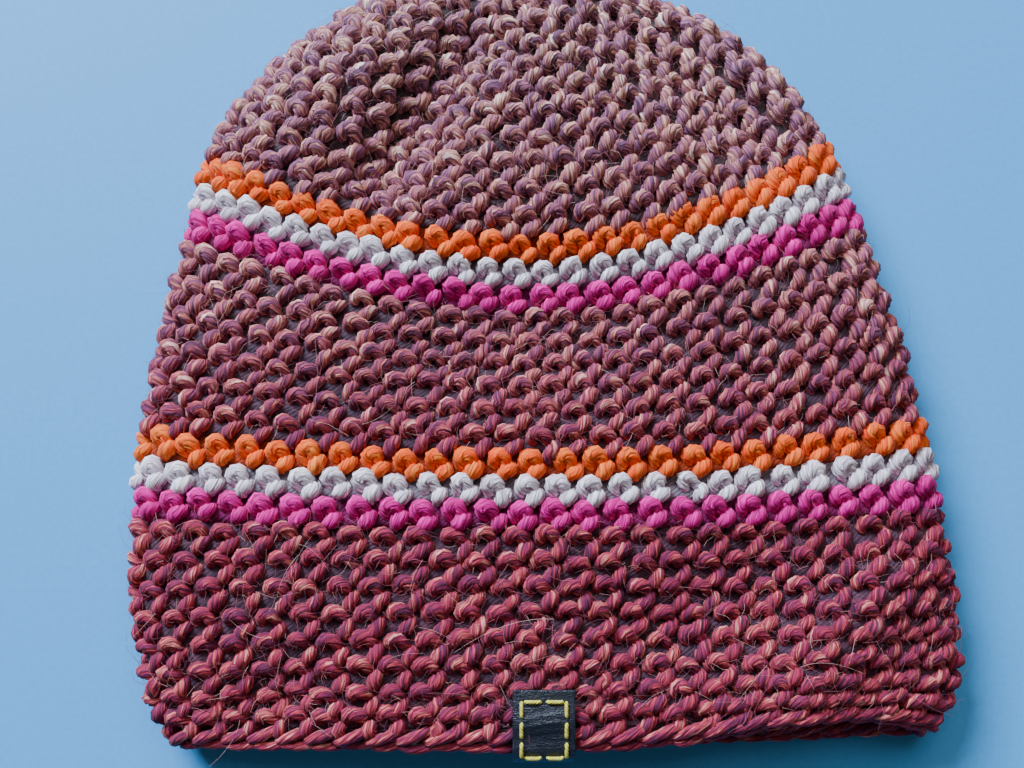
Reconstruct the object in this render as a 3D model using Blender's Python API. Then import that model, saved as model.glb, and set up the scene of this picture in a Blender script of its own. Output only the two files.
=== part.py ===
"""A crocheted beanie lying flat on its back, with its crown away from the viewer (+Y) and its hem nearer (-Y).

The hat is one hollow wall of single crochet. It is worked in rounds from the middle of the crown down
to the hem, in heather wool with two sets of orange, cream and magenta rounds, and it ends in a
slip-stitched edging. A folded leather label is sewn round the middle of the hem. Each yarn's run of
rounds is a piece of its own. Units are metres.
"""
import math

import bmesh
import bpy
import numpy as np

# Driving dimensions of the lying hat, along the middle of its wall
HAT_WIDTH = 0.234
HAT_LENGTH = 0.228
HAT_PUFF = 0.031
# Thickness of the crocheted wall in its furrows, and how far each round's ridge stands out of them
WALL = 0.0050
RIDGE = 0.0007
# The edging is a rope-like round, a little thicker than the wall
EDGING_THICKNESS = 0.0058
# Gap between pieces that touch on the real hat
SEAM_GAP = 0.0003
# The folded leather label, and how far its fold hangs below the hem
LABEL_X = 0.0
LABEL_WIDTH = 0.0168
LABEL_FLAP = 0.0150
LABEL_THICKNESS = 0.0011
LABEL_DROP = 0.0042
LABEL_BEVEL = 0.0003

# The runs of rounds from the crown's middle to the hem: piece, rounds, yarn
RUNS = (
    ("crown", 12, "heather"),
    ("upper_orange_round", 1, "orange"),
    ("upper_cream_round", 1, "cream"),
    ("upper_magenta_round", 1, "magenta"),
    ("middle_band", 6, "heather"),
    ("lower_orange_round", 1, "orange"),
    ("lower_cream_round", 1, "cream"),
    ("lower_magenta_round", 1, "magenta"),
    ("brim_band", 8, "heather"),
    ("edging", 1, "heather"),
)

# Yarn and leather: sRGB colour, roughness
FINISHES = {
    "heather": ((0.52, 0.25, 0.29), 0.95),
    "orange": ((0.93, 0.38, 0.08), 0.95),
    "cream": ((0.80, 0.78, 0.75), 0.95),
    "magenta": ((0.84, 0.10, 0.52), 0.95),
    "leather": ((0.03, 0.03, 0.04), 0.35),
}

# Where the lying wall runs, counted in rounds from the crown's middle. Each row gives the left and right
# fold, the middle of the front layer and the middle of the back layer. X is a share of HAT_WIDTH, Y of
# HAT_LENGTH from the hem, and Z of HAT_PUFF.
SECTIONS = {
    "round": (0, 1, 3, 5, 8, 12, 15, 18, 21, 24, 28, 31, 33),
    "left_x": (-0.041, -0.079, -0.160, -0.241, -0.342, -0.434, -0.456, -0.480, -0.497, -0.500, -0.489, -0.461, -0.434),
    "right_x": (-0.041, -0.002, 0.081, 0.162, 0.271, 0.375, 0.414, 0.449, 0.473, 0.488, 0.500, 0.491, 0.461),
    "left_y": (1.008, 1.008, 1.002, 0.978, 0.902, 0.766, 0.650, 0.513, 0.391, 0.275, 0.128, 0.037, -0.002),
    "right_y": (1.008, 1.009, 1.007, 0.985, 0.920, 0.786, 0.668, 0.531, 0.406, 0.291, 0.141, 0.053, 0.009),
    "fold_z": (0.29, 0.31, 0.42, 0.48, 0.48, 0.45, 0.43, 0.42, 0.42, 0.42, 0.39, 0.35, 0.32),
    "front_y": (1.008, 1.000, 0.965, 0.897, 0.790, 0.637, 0.536, 0.445, 0.353, 0.260, 0.139, 0.047, 0.000),
    "front_z": (0.29, 0.52, 0.90, 1.00, 1.00, 0.95, 0.91, 0.89, 0.88, 0.87, 0.83, 0.78, 0.74),
    "back_y": (1.008, 0.985, 0.914, 0.844, 0.748, 0.619, 0.532, 0.440, 0.348, 0.256, 0.136, 0.046, -0.004),
    "back_z": (0.29, 0.10, 0.08, 0.08, 0.08, 0.08, 0.08, 0.08, 0.08, 0.08, 0.08, 0.08, 0.08),
}
# How boxy a section is: 2 is an ellipse. The front layer domes and the back layer lies flat.
FRONT_POWER = 2.5
BACK_POWER = 5.0

# Dents (positive depth) and swells (negative) of the front layer. Each follows a straight line between
# two points, X as a share of HAT_WIDTH and Y of HAT_LENGTH, with depth and width as shares of HAT_PUFF.
DENTS = (
    {"name": "left crown crease", "from": (-0.090, 0.900), "to": (-0.200, 0.725), "depth": 0.25, "width": 0.38},
    {"name": "right crown crease", "from": (0.115, 0.935), "to": (0.275, 0.765), "depth": 0.20, "width": 0.36},
    {"name": "left crown lobe", "from": (-0.235, 0.890), "to": (-0.330, 0.775), "depth": -0.10, "width": 0.45},
    {"name": "dip below the upper stripes", "from": (-0.060, 0.520), "to": (0.060, 0.520), "depth": 0.09, "width": 0.60},
    {"name": "swell over the lower stripes", "from": (-0.080, 0.370), "to": (0.080, 0.370), "depth": -0.05, "width": 0.60},
    {"name": "dip in the brim", "from": (0.130, 0.130), "to": (0.260, 0.190), "depth": 0.10, "width": 0.45},
    {"name": "right corner fold", "from": (0.415, 0.190), "to": (0.300, 0.060), "depth": -0.16, "width": 0.30},
    {"name": "left corner dip", "from": (-0.380, 0.020), "to": (-0.300, 0.060), "depth": 0.12, "width": 0.35},
)

# The front layer's hem has ridden up towards its right end, which shows the back layer's hem below it
HEM_LIFT = {"centre": 0.375, "width": 0.170, "rise": 0.036, "from_round": 27}

# Sampling
AROUND = 56
FINE_AROUND = 720
FOLD_SHARE = 0.45
SLOPE_STEP = 0.02
POLE_ROUND = 0.5


def clear_scene():
    for obj in list(bpy.data.objects):
        bpy.data.objects.remove(obj)


def section_value(column, rounds):
    """A smooth curve through one column of SECTIONS, read at a number of rounds."""
    knots = np.array(SECTIONS["round"], float)
    values = np.array(SECTIONS[column], float)
    slopes = np.gradient(values, knots)
    i = min(max(int(np.searchsorted(knots, rounds, side="right")) - 1, 0), len(knots) - 2)
    span = knots[i + 1] - knots[i]
    t = (rounds - knots[i]) / span
    return (
        (1 + 2 * t) * (1 - t) ** 2 * values[i]
        + t * (1 - t) ** 2 * span * slopes[i]
        + t * t * (3 - 2 * t) * values[i + 1]
        + t * t * (t - 1) * span * slopes[i + 1]
    )


def dent_drop(x, y):
    """How far the front layer drops below its smooth form at these places."""
    drop = np.zeros_like(x)
    for dent in DENTS:
        x1, x2 = (HAT_WIDTH * dent[end][0] for end in ("from", "to"))
        y1, y2 = (HAT_LENGTH * dent[end][1] for end in ("from", "to"))
        t = ((x - x1) * (x2 - x1) + (y - y1) * (y2 - y1)) / ((x2 - x1) ** 2 + (y2 - y1) ** 2)
        t = np.clip(t, 0, 1)
        distance = np.hypot(x - x1 - t * (x2 - x1), y - y1 - t * (y2 - y1))
        drop += HAT_PUFF * dent["depth"] * np.exp(-((distance / (HAT_PUFF * dent["width"])) ** 2))
    return drop


def fine_ring(rounds):
    """A closed line of points along the middle of the wall, so many rounds from the crown's middle.

    It starts at the middle of the front layer and goes over the right fold to the back.
    """
    left_x, right_x = (HAT_WIDTH * section_value(name, rounds) for name in ("left_x", "right_x"))
    left_y, right_y, front_y, back_y = (
        HAT_LENGTH * section_value(name, rounds) for name in ("left_y", "right_y", "front_y", "back_y")
    )
    fold_z, front_z, back_z = (HAT_PUFF * section_value(name, rounds) for name in ("fold_z", "front_z", "back_z"))
    angle = np.linspace(0, 2 * math.pi, FINE_AROUND, endpoint=False)
    in_front = np.cos(angle) >= 0
    power = np.where(in_front, FRONT_POWER, BACK_POWER)
    across = np.sign(np.sin(angle)) * np.abs(np.sin(angle)) ** (2 / power)
    rise = np.abs(np.cos(angle)) ** (2 / power)
    x = (left_x + right_x) / 2 + across * (right_x - left_x) / 2
    side_y = (left_y + right_y) / 2 + across * (right_y - left_y) / 2
    middle_y = np.where(in_front, front_y, back_y)
    y = side_y + (middle_y - side_y) * (1 - across ** 2)
    lifted = max(rounds - HEM_LIFT["from_round"], 0) / (SECTIONS["round"][-1] - HEM_LIFT["from_round"])
    bump = np.exp(-(((x / HAT_WIDTH - HEM_LIFT["centre"]) / HEM_LIFT["width"]) ** 2))
    y += np.where(in_front, rise, 0) * HAT_LENGTH * HEM_LIFT["rise"] * lifted ** 2 * bump
    z = fold_z + (np.where(in_front, front_z, back_z) - fold_z) * rise
    z -= np.where(in_front, rise, 0) * dent_drop(x, y)
    return np.stack([x, y, z], axis=1)


def spaced_ring(rounds, count=AROUND):
    """The fine ring read at fewer points, which crowd together a little round the folds."""
    ring = fine_ring(rounds)
    steps = np.roll(ring, -1, axis=0) - ring
    lengths = np.linalg.norm(steps, axis=1)
    directions = steps / lengths[:, None]
    turns = np.arccos(np.clip((directions * np.roll(directions, -1, axis=0)).sum(axis=1), -1, 1))
    weight = (1 - FOLD_SHARE) * lengths / lengths.sum() + FOLD_SHARE * turns / turns.sum()
    travelled = np.concatenate([[0], np.cumsum(weight)])
    closed = np.vstack([ring, ring[:1]])
    wanted = np.linspace(0, travelled[-1], count, endpoint=False)
    return np.stack([np.interp(wanted, travelled, closed[:, axis]) for axis in range(3)], axis=1)


def wall_directions(rounds):
    """Unit directions out of the wall, and down it towards the hem, at the points of a spaced ring."""
    ring = spaced_ring(rounds)
    around = np.roll(ring, -1, axis=0) - np.roll(ring, 1, axis=0)
    outward = np.cross(spaced_ring(rounds + SLOPE_STEP) - spaced_ring(rounds - SLOPE_STEP), around)
    down = np.cross(around, outward)
    return [lines / np.linalg.norm(lines, axis=1)[:, None] for lines in (outward, down)]


def wall_ring(rounds, offset, shift=0.0):
    """The wall's middle moved outwards by an offset and down the wall by a shift.

    It is pressed flat where it would sink into the table.
    """
    outward, down = wall_directions(rounds)
    ring = spaced_ring(rounds) + outward * offset + down * shift
    ring[:, 2] = np.maximum(ring[:, 2], max(WALL / 2 - offset, 0))
    return ring


def ridge_height(rounds):
    """Each round stands out most at its middle, and furrows run between the rounds."""
    return RIDGE * math.sin(math.pi * rounds) ** 2


def pole(offset):
    """The middle of the crown, moved outwards by an offset."""
    normal = wall_directions(POLE_ROUND)[0].mean(axis=0)
    return fine_ring(0).mean(axis=0) + normal / np.linalg.norm(normal) * offset


def material(name):
    colour, roughness = FINISHES[name]
    made = bpy.data.materials.get(name) or bpy.data.materials.new(name)
    made.use_nodes = True
    shader = made.node_tree.nodes["Principled BSDF"]
    linear = [c / 12.92 if c < 0.04045 else ((c + 0.055) / 1.055) ** 2.4 for c in colour]
    shader.inputs["Base Color"].default_value = (*linear, 1)
    shader.inputs["Roughness"].default_value = roughness
    shader.inputs["Metallic"].default_value = 0
    return made


def skin(name, rings, finish, closed=True, caps=()):
    """A solid through a list of rings of equal count, where caps are single points before and after them.

    Every four-sided face is split along its shorter diagonal, so that two edges that face each other
    across a seam are split alike and stay apart.
    """
    mesh = bmesh.new()
    loops = [[mesh.verts.new(point) for point in ring] for ring in rings]
    pairs = list(zip(loops, loops[1:] + loops[:1])) if closed else list(zip(loops, loops[1:]))
    for one, other in pairs:
        for i in range(len(one)):
            j = (i + 1) % len(one)
            mesh.faces.new((one[i], one[j], other[j], other[i]))
    for loop, point in zip((loops[0], loops[-1]), caps):
        tip = mesh.verts.new(point)
        for i in range(len(loop)):
            mesh.faces.new((loop[i], loop[(i + 1) % len(loop)], tip))
    bmesh.ops.triangulate(mesh, faces=mesh.faces, quad_method="SHORT_EDGE")
    bmesh.ops.recalc_face_normals(mesh, faces=mesh.faces)
    data = bpy.data.meshes.new(name)
    mesh.to_mesh(data)
    mesh.free()
    data.shade_smooth()
    data.materials.append(material(finish))
    obj = bpy.data.objects.new(name, data)
    bpy.context.scene.collection.objects.link(obj)
    return obj


def run_rings(start, end):
    """Outer rings at every furrow and ridge from start to end, then inner rings back to the start."""
    halves = [start + half / 2 for half in range(1, 2 * (end - start))]
    outer = [wall_ring(r, WALL / 2 + ridge_height(r)) for r in halves]
    inner = [wall_ring(r, -WALL / 2) for r in range(start + 2, end, 2)]
    if start:
        outer.insert(0, wall_ring(start, WALL / 2, SEAM_GAP / 2))
        inner.insert(0, wall_ring(start, -WALL / 2, SEAM_GAP / 2))
    else:
        inner.insert(0, wall_ring(POLE_ROUND, -WALL / 2))
    outer.append(wall_ring(end, WALL / 2, -SEAM_GAP / 2))
    inner.append(wall_ring(end, -WALL / 2, -SEAM_GAP / 2))
    return outer, inner[::-1]


def crocheted_band(name, start, end, yarn):
    outer, inner = run_rings(start, end)
    return skin(name, outer + inner, yarn)


def crocheted_crown(name, end, yarn):
    """The crown is closed at its middle, where the rounds began in a small ring of stitches."""
    outer, inner = run_rings(0, end)
    return skin(name, outer + inner, yarn, closed=False, caps=(pole(WALL / 2), pole(-WALL / 2)))


def slip_stitched_edging(name, start, end, yarn):
    """The last round is folded over the hem as a rounded rope."""
    profile = ((start + 0.40, EDGING_THICKNESS / 2), (start + 0.80, EDGING_THICKNESS * 0.4))
    outer = [wall_ring(start, WALL / 2, SEAM_GAP / 2)] + [wall_ring(r, offset) for r, offset in profile]
    inner = [wall_ring(r, -offset) for r, offset in reversed(profile)]
    return skin(name, outer + [wall_ring(end, 0)] + inner + [wall_ring(start, -WALL / 2, SEAM_GAP / 2)], yarn)


def front_line(x, rounds):
    """Y and Z of the front layer's middle at this X, so many rounds from the crown's middle."""
    ring = fine_ring(rounds)
    front = np.vstack([ring[-FINE_AROUND // 4 :], ring[: FINE_AROUND // 4]])
    return np.array([np.interp(x, front[:, 0], front[:, axis]) for axis in (1, 2)])


def label_path(lift):
    """The label's fold seen from the side, as (Y, Z) at a height above the leather's middle.

    It lies on the front layer, turns round the hem and comes back up inside the hat.
    """
    last_round = SECTIONS["round"][-1]
    hem = front_line(LABEL_X, last_round)
    up = front_line(LABEL_X, last_round - 1) - hem
    up /= np.linalg.norm(up)
    out = np.array([-up[1], up[0]])
    if out[1] < 0:
        out = -out
    turn = out * (max(WALL / 2 + RIDGE, EDGING_THICKNESS / 2) + SEAM_GAP + LABEL_THICKNESS / 2)
    flap = [hem + up * LABEL_FLAP * share for share in (1, 0.67, 0.33, 0)]
    front = [point + turn + out * lift for point in flap]
    angles = [math.radians(a) for a in (30, 60, 90, 120, 150)]
    fold = [hem + (turn + out * lift) * math.cos(a) - up * (LABEL_DROP + lift) * math.sin(a) for a in angles]
    inside = [point - turn - out * lift for point in reversed(flap)]
    return front + fold + inside


def folded_label(name):
    """A strip of leather with eased edges, folded round the hem and sewn through it."""
    side, half = LABEL_WIDTH / 2, LABEL_THICKNESS / 2
    section = []
    for across, through in ((1, 1), (-1, 1), (-1, -1), (1, -1)):
        corners = [(across * (side - LABEL_BEVEL), through * half), (across * side, through * (half - LABEL_BEVEL))]
        section += corners if across * through < 0 else corners[::-1]
    paths = [[(LABEL_X + x, y, z) for y, z in label_path(lift)] for x, lift in section]
    rings = list(zip(*paths))
    ends = [np.mean(ring, axis=0) for ring in (rings[0], rings[-1])]
    return skin(name, rings, "leather", closed=False, caps=ends)


def centred(pieces):
    """Moves every piece so that the origin is under the middle of the hat, on the table."""
    corners = np.array([vertex.co for piece in pieces for vertex in piece.data.vertices])
    low, high = corners.min(axis=0), corners.max(axis=0)
    shift = ((low + high) / 2 * (1, 1, 0)) + (0, 0, low[2])
    for piece in pieces:
        for vertex in piece.data.vertices:
            vertex.co = [a - b for a, b in zip(vertex.co, shift)]


def main():
    clear_scene()
    pieces = []
    start = 0
    for name, rounds, yarn in RUNS:
        end = start + rounds
        if start == 0:
            pieces.append(crocheted_crown(name, end, yarn))
        elif name == "edging":
            pieces.append(slip_stitched_edging(name, start, end, yarn))
        else:
            pieces.append(crocheted_band(name, start, end, yarn))
        start = end
    pieces.append(folded_label("label"))
    centred(pieces)


main()
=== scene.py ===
"""A crocheted beanie lying flat on its back on a pale table, with its hem towards the camera.

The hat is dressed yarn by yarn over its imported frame, from the crown's middle down to the hem, then its
edging, its label and its loose fibres, and last the table, the light and the camera.
"""
import math

import bpy
import numpy as np
from mathutils import Matrix, Vector


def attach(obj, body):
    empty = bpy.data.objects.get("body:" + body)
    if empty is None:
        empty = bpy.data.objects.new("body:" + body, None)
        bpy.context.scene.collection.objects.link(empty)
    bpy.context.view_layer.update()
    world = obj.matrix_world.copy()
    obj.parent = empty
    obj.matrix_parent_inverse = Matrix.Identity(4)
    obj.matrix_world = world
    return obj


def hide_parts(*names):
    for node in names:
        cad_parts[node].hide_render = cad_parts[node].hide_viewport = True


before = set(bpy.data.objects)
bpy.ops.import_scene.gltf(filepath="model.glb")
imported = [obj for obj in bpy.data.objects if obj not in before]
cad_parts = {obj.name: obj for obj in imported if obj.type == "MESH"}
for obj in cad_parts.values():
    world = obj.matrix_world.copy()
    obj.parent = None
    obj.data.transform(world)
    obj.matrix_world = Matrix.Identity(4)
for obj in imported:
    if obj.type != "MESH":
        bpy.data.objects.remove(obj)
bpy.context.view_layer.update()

# The crown: twelve rounds of single crochet in heather wool, begun in a small ring of stitches in the
# middle and widened round by round. Hand-crocheted, and soft enough to crease where it folds over.

HAT_WIDTH, HAT_LENGTH, HAT_PUFF = 0.234, 0.228, 0.031
ORIGIN = (-0.0000454, 0.1143393)  # the frame's origin, measured in the section table's X and Y
# Where the folds and the two layers lie at some rounds, as shares of the three sizes above
SECTIONS = {
    "round": (0, 1, 3, 5, 8, 12, 15, 18, 21, 24, 28, 31, 33),
    "left_x": (
        -0.041, -0.079, -0.160, -0.241, -0.342, -0.434, -0.456,
        -0.480, -0.497, -0.500, -0.489, -0.461, -0.434,
    ),
    "right_x": (-0.041, -0.002, 0.081, 0.162, 0.271, 0.375, 0.414, 0.449, 0.473, 0.488, 0.500, 0.491, 0.461),
    "left_y": (1.008, 1.008, 1.002, 0.978, 0.902, 0.766, 0.650, 0.513, 0.391, 0.275, 0.128, 0.037, -0.002),
    "right_y": (1.008, 1.009, 1.007, 0.985, 0.920, 0.786, 0.668, 0.531, 0.406, 0.291, 0.141, 0.053, 0.009),
    "fold_z": (0.29, 0.31, 0.42, 0.48, 0.48, 0.45, 0.43, 0.42, 0.42, 0.42, 0.39, 0.35, 0.32),
    "front_y": (1.008, 1.000, 0.965, 0.897, 0.790, 0.637, 0.536, 0.445, 0.353, 0.260, 0.139, 0.047, 0.000),
    "front_z": (0.29, 0.52, 0.90, 1.00, 1.00, 0.95, 0.91, 0.89, 0.88, 0.87, 0.83, 0.78, 0.74),
    "back_y": (1.008, 0.985, 0.914, 0.844, 0.748, 0.619, 0.532, 0.440, 0.348, 0.256, 0.136, 0.046, -0.004),
    "back_z": (0.29, 0.10, 0.08, 0.08, 0.08, 0.08, 0.08, 0.08, 0.08, 0.08, 0.08, 0.08, 0.08),
}
FRONT_POWER, BACK_POWER = 2.5, 5.0  # how square each layer's section is: 2 gives an ellipse
# Dents (positive depth) and swells of the front layer: from x, y to x, y, depth, width
DENTS = (
    (-0.090, 0.900, -0.200, 0.725, 0.25, 0.38),
    (0.115, 0.935, 0.275, 0.765, 0.20, 0.36),
    (-0.235, 0.890, -0.330, 0.775, -0.10, 0.45),
    (-0.060, 0.520, 0.060, 0.520, 0.09, 0.60),
    (-0.080, 0.370, 0.080, 0.370, -0.05, 0.60),
    (0.130, 0.130, 0.260, 0.190, 0.10, 0.45),
    (0.415, 0.190, 0.300, 0.060, -0.16, 0.30),
    (-0.380, 0.020, -0.300, 0.060, 0.12, 0.35),
)
# The lifted part of the hem: its middle and width across, its rise, and the round that it begins at
LIFT_CENTRE, LIFT_WIDTH, LIFT_RISE, LIFT_FROM = 0.375, 0.170, 0.036, 27
LAST_ROUND = SECTIONS["round"][-1]
RING_POINTS = 1441  # of the curve that a ring is measured along, before its points are spaced evenly


def section_value(column, rounds):
    """A column of the section table at this round, on a smooth curve through its values."""
    knots, values = (np.array(SECTIONS[name], float) for name in ("round", column))
    slopes = np.gradient(values, knots)
    i = min(max(int(np.searchsorted(knots, rounds, side="right")) - 1, 0), len(knots) - 2)
    span = knots[i + 1] - knots[i]
    t = (rounds - knots[i]) / span
    return (
        (1 + 2 * t) * (1 - t) ** 2 * values[i]
        + t * (1 - t) ** 2 * span * slopes[i]
        + t * t * (3 - 2 * t) * values[i + 1]
        + t * t * (t - 1) * span * slopes[i + 1]
    )


def dent_drop(x, y):
    """How far the dents and swells lower the front layer here."""
    drop = np.zeros_like(x)
    for x1, y1, x2, y2, depth, width in DENTS:
        x1, x2, y1, y2 = HAT_WIDTH * x1, HAT_WIDTH * x2, HAT_LENGTH * y1, HAT_LENGTH * y2
        t = ((x - x1) * (x2 - x1) + (y - y1) * (y2 - y1)) / ((x2 - x1) ** 2 + (y2 - y1) ** 2)
        t = np.clip(t, 0, 1)
        distance = np.hypot(x - x1 - t * (x2 - x1), y - y1 - t * (y2 - y1))
        drop += HAT_PUFF * depth * np.exp(-((distance / (HAT_PUFF * width)) ** 2))
    return drop


def wall_ring(rounds, count):
    """Evenly spaced points along the wall's middle, from the front layer's middle over the right fold."""
    left_x, right_x = (HAT_WIDTH * section_value(name, rounds) for name in ("left_x", "right_x"))
    left_y, right_y = (HAT_LENGTH * section_value(name, rounds) for name in ("left_y", "right_y"))
    front_y, back_y = (HAT_LENGTH * section_value(name, rounds) for name in ("front_y", "back_y"))
    fold_z, front_z, back_z = (
        HAT_PUFF * section_value(name, rounds) for name in ("fold_z", "front_z", "back_z")
    )
    angle = np.linspace(0, 2 * math.pi, RING_POINTS)
    in_front = np.cos(angle) >= 0
    power = np.where(in_front, FRONT_POWER, BACK_POWER)
    across = np.sign(np.sin(angle)) * np.abs(np.sin(angle)) ** (2 / power)
    rise = np.abs(np.cos(angle)) ** (2 / power)
    x = (left_x + right_x) / 2 + across * (right_x - left_x) / 2
    side_y = (left_y + right_y) / 2 + across * (right_y - left_y) / 2
    y = side_y + (np.where(in_front, front_y, back_y) - side_y) * (1 - across ** 2)
    lifted = max(rounds - LIFT_FROM, 0) / (LAST_ROUND - LIFT_FROM)
    bump = np.exp(-(((x / HAT_WIDTH - LIFT_CENTRE) / LIFT_WIDTH) ** 2))
    y += np.where(in_front, rise, 0) * HAT_LENGTH * LIFT_RISE * lifted ** 2 * bump
    z = fold_z + (np.where(in_front, front_z, back_z) - fold_z) * rise
    z -= np.where(in_front, rise, 0) * dent_drop(x, y)
    ring = np.stack([x - ORIGIN[0], y - ORIGIN[1], z], axis=1)
    travelled = np.concatenate([[0], np.cumsum(np.linalg.norm(np.diff(ring, axis=0), axis=1))])
    wanted = np.linspace(0, travelled[-1], count, endpoint=False)
    return np.stack([np.interp(wanted, travelled, ring[:, axis]) for axis in range(3)], axis=1), travelled[-1]


ROWS_PER_ROUND, COLUMNS = 10, 640
row_rounds = np.maximum(np.arange(LAST_ROUND * ROWS_PER_ROUND + 1) / ROWS_PER_ROUND, 0.03)
rings = [wall_ring(rounds, COLUMNS) for rounds in row_rounds]
wall_points = np.array([ring for ring, _ in rings])
ring_lengths = np.array([length for _, length in rings])
# The wall runs on a little past the hem, so that the edging can turn round it
PAST_HEM = 12
past_hem = np.arange(1, PAST_HEM + 1)[:, None, None] * (wall_points[-1] - wall_points[-2])
wall_points = np.concatenate([wall_points, wall_points[-1] + past_hem])
run_round = np.roll(wall_points, -1, axis=1) - np.roll(wall_points, 1, axis=1)
run_down = np.gradient(wall_points, axis=0)
wall_normals = np.cross(run_down, run_round)
wall_normals /= np.linalg.norm(wall_normals, axis=2)[:, :, None]


def on_wall(rounds, around, height):
    """Points so many rounds from the crown's middle, at a share of the way round, over the wall's middle."""
    row = np.clip(rounds * ROWS_PER_ROUND, 0, len(wall_points) - 1.001)
    column = (around % 1) * COLUMNS
    i, j = row.astype(int), column.astype(int) % COLUMNS
    f, g = (row - i)[..., None], (column - np.floor(column))[..., None]
    k = (j + 1) % COLUMNS
    found = []
    for grid in (wall_points, wall_normals):
        near = grid[i, j] * (1 - g) + grid[i, k] * g
        far = grid[i + 1, j] * (1 - g) + grid[i + 1, k] * g
        found.append(near * (1 - f) + far * f)
    return found[0] + found[1] * np.asarray(height)[..., None], found[1]


# Gauge: 53 stitches round the body, some 9 mm wide, and rounds about 7.3 mm tall
BODY_STITCHES = 53
CROWN_STITCH = 0.0086
SPIRAL_LEAN = 0.23  # each round's stitches sit this share of a stitch to the left of those above
# The crown's rounds are worked a little tighter than the body's: thirteen lie within the frame's twelve
CROWN_ROUNDS, CROWN_WORKED = 12, 13


def stitches_in(middle):
    """How many stitches a round has whose middle lies here."""
    if middle > CROWN_ROUNDS:
        return BODY_STITCHES
    return max(6, min(BODY_STITCHES, round(ring_lengths[int(middle * ROWS_PER_ROUND)] / CROWN_STITCH)))


row_steps = np.linalg.norm(run_down, axis=2) * ROWS_PER_ROUND
STITCH_LOWEST, STITCH_TALLEST, STRETCHED_MOST = 0.0060, 0.0080, 1.5


def round_heights(rounds, around):
    """How tall a round is here, within a plain stitch's reach, and how much it is stretched past that."""
    row = np.clip((rounds * ROWS_PER_ROUND).astype(int), 0, len(row_steps) - 1)
    column = ((around % 1) * COLUMNS).astype(int) % COLUMNS
    tall = row_steps[row, column]
    return np.clip(tall, STITCH_LOWEST, STITCH_TALLEST), np.clip(tall / STITCH_TALLEST, 1.0, STRETCHED_MOST)


# A single crochet stitch shows two lengths of yarn: an arch over the front of its post, and a short knot
# at its lower right that nestles between the arches of the round below. Each row is a point the yarn
# passes, in mm: to the right, up towards the crown, out of the wall's middle, and the yarn's thickness.
ARCH = np.array([
    (-1.80, -2.7, -2.3, 0.85),
    (-2.04, -1.75, -0.8, 1.06),
    (-2.04, -0.75, 0.55, 1.20),
    (-1.42, 0.15, 1.35, 1.26),
    (-0.05, 0.52, 1.60, 1.28),
    (1.37, 0.20, 1.45, 1.26),
    (2.08, -0.72, 0.80, 1.20),
    (2.28, -1.95, -0.5, 1.06),
    (2.48, -3.1, -2.1, 0.85),
])
KNOT = np.array([
    (0.45, -6.9, -1.8, 0.96),
    (1.12, -6.05, 0.30, 1.18),
    (1.96, -5.10, 1.35, 1.31),
    (2.84, -4.15, 1.50, 1.31),
    (3.68, -3.20, 0.65, 1.18),
    (4.35, -2.40, -1.5, 0.96),
])


def smooth_through(count, points):
    """Weights that turn a few passing points into a smooth run of many."""
    t = np.linspace(0, points - 1, count)
    weights = np.zeros((count, points))
    for row, at in enumerate(t):
        i = min(int(at), points - 2)
        f = at - i
        parts = (
            -0.5 * f + f**2 - 0.5 * f**3,
            1 - 2.5 * f**2 + 1.5 * f**3,
            0.5 * f + 2 * f**2 - 1.5 * f**3,
            -0.5 * f**2 + 0.5 * f**3,
        )
        for offset, part in zip((-1, 0, 1, 2), parts):
            weights[row, min(max(i + offset, 0), points - 1)] += part
    return weights


PLIES = 6
TABLE_CLEARANCE = 0.00015
# The label presses the stitches beneath it down: by this much, below this round, this near its middle
PRESSED_BY, PRESSED_FROM, PRESSED_AT, PRESSED_WIDTH = 0.0011, 30.3, -0.0065, 0.020
YARN_RADIUS = 0.00158
TWIST = 580.0  # radians a metre: the plies lie at some forty degrees to the yarn
UNEVEN = 0.045  # fibres that stand off make each ply a little uneven, by this share of its radius
INNERMOST = 0.04  # no stitch comes nearer to the crown's middle than this share of a round


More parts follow.
